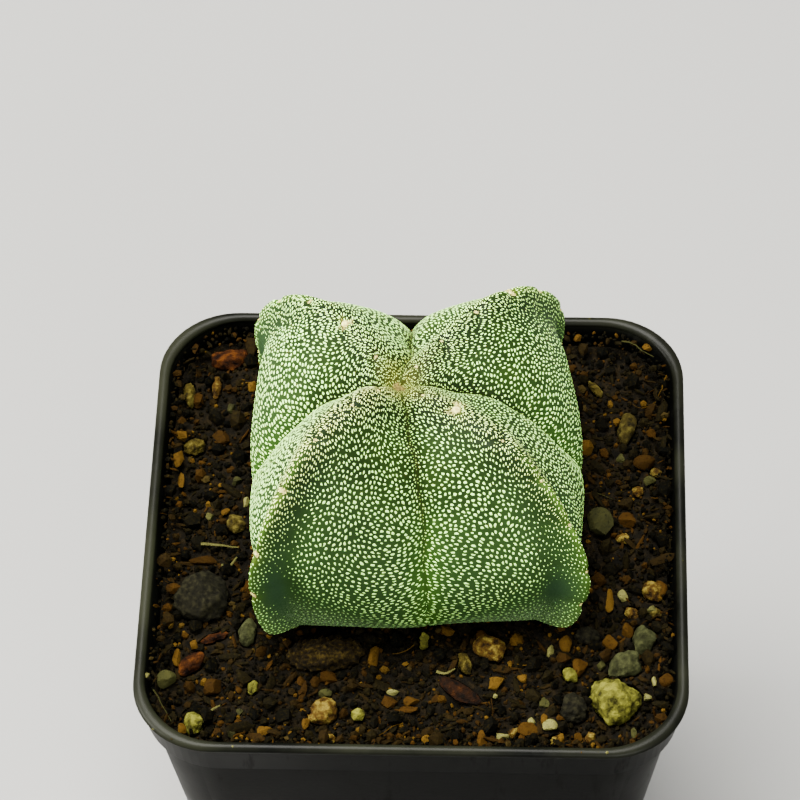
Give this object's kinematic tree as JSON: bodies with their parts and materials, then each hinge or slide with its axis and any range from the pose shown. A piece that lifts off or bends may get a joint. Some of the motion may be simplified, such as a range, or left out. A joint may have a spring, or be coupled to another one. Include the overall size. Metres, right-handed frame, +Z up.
{
  "type": "potted four-ribbed bishop's cap cactus",
  "caption": "Bishop's cap cactus with a square, ribbed, white-flecked green body, growing in gritty soil in a square black plastic nursery pot.",
  "frame": {"origin": "centre of the pot's underside, on the surface it stands on", "axes": "+Z up; -Y towards the front, where the picture was taken from; +X to the right seen from the front"},
  "size_m": [0.075, 0.075, 0.1047],
  "materials": {
    "pot_plastic": "satin",
    "soil_grit": "matte",
    "cactus_skin": "matte",
    "stone_pale": "matte",
    "stone_grey": "matte",
    "stone_dark": "matte",
    "stone_orange": "matte",
    "stone_yellow": "matte",
    "bark_orange": "matte",
    "bark_brown": "matte"
  },
  "bodies": {
    "root": {"pot": "pot_plastic", "soil": "soil_grit", "cactus": "cactus_skin", "stone_pale_pumice": "stone_pale", "stone_grey_green": "stone_grey", "stone_grey_pebble": "stone_grey", "stone_cream_small": "stone_pale", "stone_orange_curved": "stone_orange", "stone_yellow_green": "stone_yellow", "bark_red": "bark_orange", "stone_orange_cream": "stone_orange", "stone_cream_round": "stone_pale", "chip_pale_green": "stone_pale", "chip_pale_cream": "stone_pale", "stone_dark_large": "stone_dark", "stone_grey_blue": "stone_grey", "bark_orange_left": "bark_orange", "bark_orange_short": "bark_orange", "bark_brown_large": "bark_brown", "stone_cream_left": "stone_yellow", "stone_yellow_left": "stone_yellow", "bark_orange_back": "bark_orange", "chip_yellow_back": "stone_yellow", "stone_orange_mid": "stone_orange", "stone_yellow_right": "stone_yellow", "chip_curved_back": "stone_yellow", "stone_amber_far": "stone_orange", "stone_amber_mid": "stone_orange", "stone_amber_near": "stone_orange", "stone_orange_corner": "stone_orange", "stone_orange_low": "stone_orange", "stone_yellow_corner": "stone_yellow", "stone_dark_front": "stone_dark", "stone_dark_right": "stone_dark", "chip_pale_stub": "stone_pale", "stone_rim_1": "stone_orange", "stone_rim_2": "stone_orange", "stone_rim_3": "stone_orange", "stone_rim_4": "stone_orange"}
  },
  "joints": []
}
